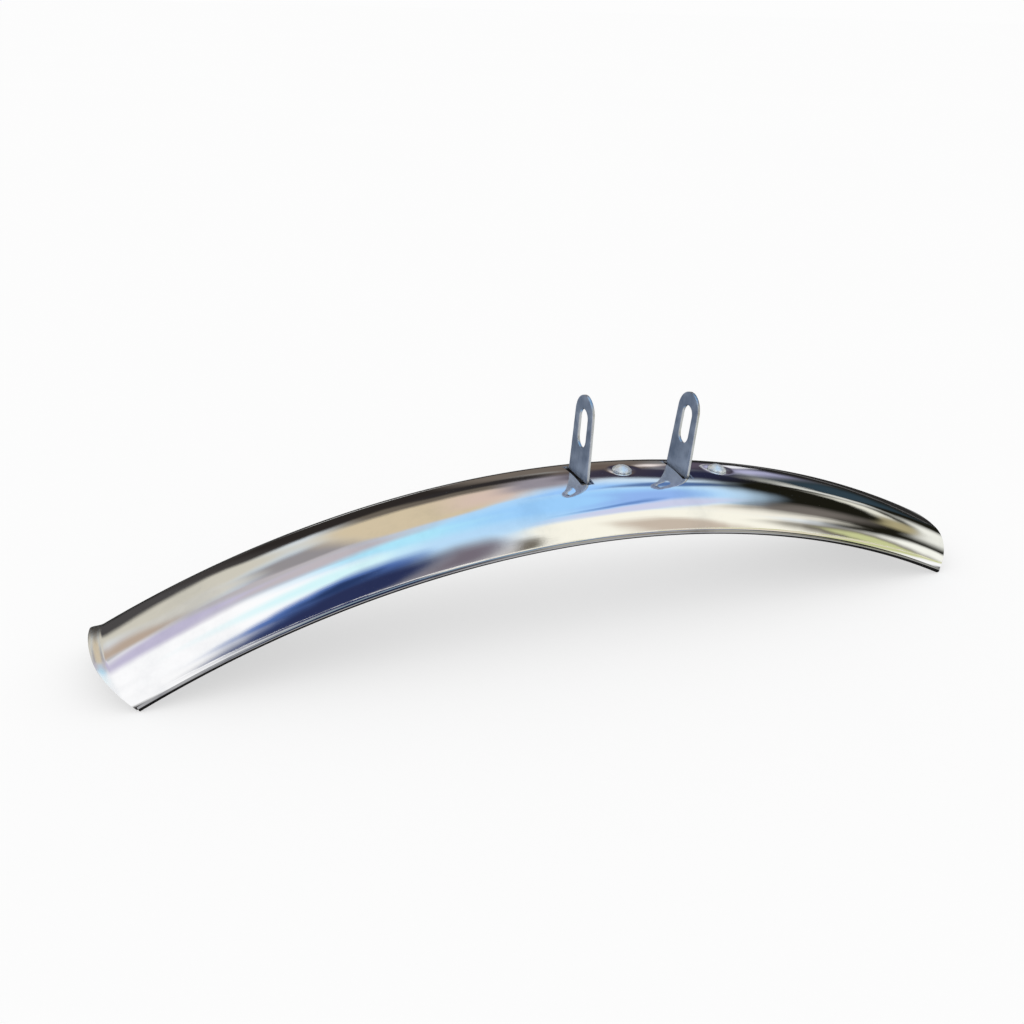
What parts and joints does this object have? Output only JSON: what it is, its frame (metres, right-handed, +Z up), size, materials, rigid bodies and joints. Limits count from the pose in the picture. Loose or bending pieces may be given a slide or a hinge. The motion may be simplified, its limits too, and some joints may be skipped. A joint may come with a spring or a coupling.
{
  "type": "bicycle mudguard",
  "caption": "Short arched bicycle mudguard of polished steel with rolled rims, a stepped tail lip and slotted upright straps riveted under the crown.",
  "frame": {"origin": "on the floor under the middle of the guard, which stands on the ends of its rolled rims", "axes": "+X along the guard towards the nose, +Y across it, +Z up out of the crown"},
  "size_m": [0.3156, 0.0472, 0.0779],
  "materials": {
    "blade_chrome": "mirror polished",
    "bracket_steel": "satin, zinc plated",
    "rivet_chrome": "polished"
  },
  "bodies": {
    "root": {"blade": "blade_chrome", "rear_bracket": "bracket_steel", "front_bracket": "bracket_steel", "rear_rivet": "rivet_chrome", "front_rivet": "rivet_chrome"}
  },
  "joints": []
}
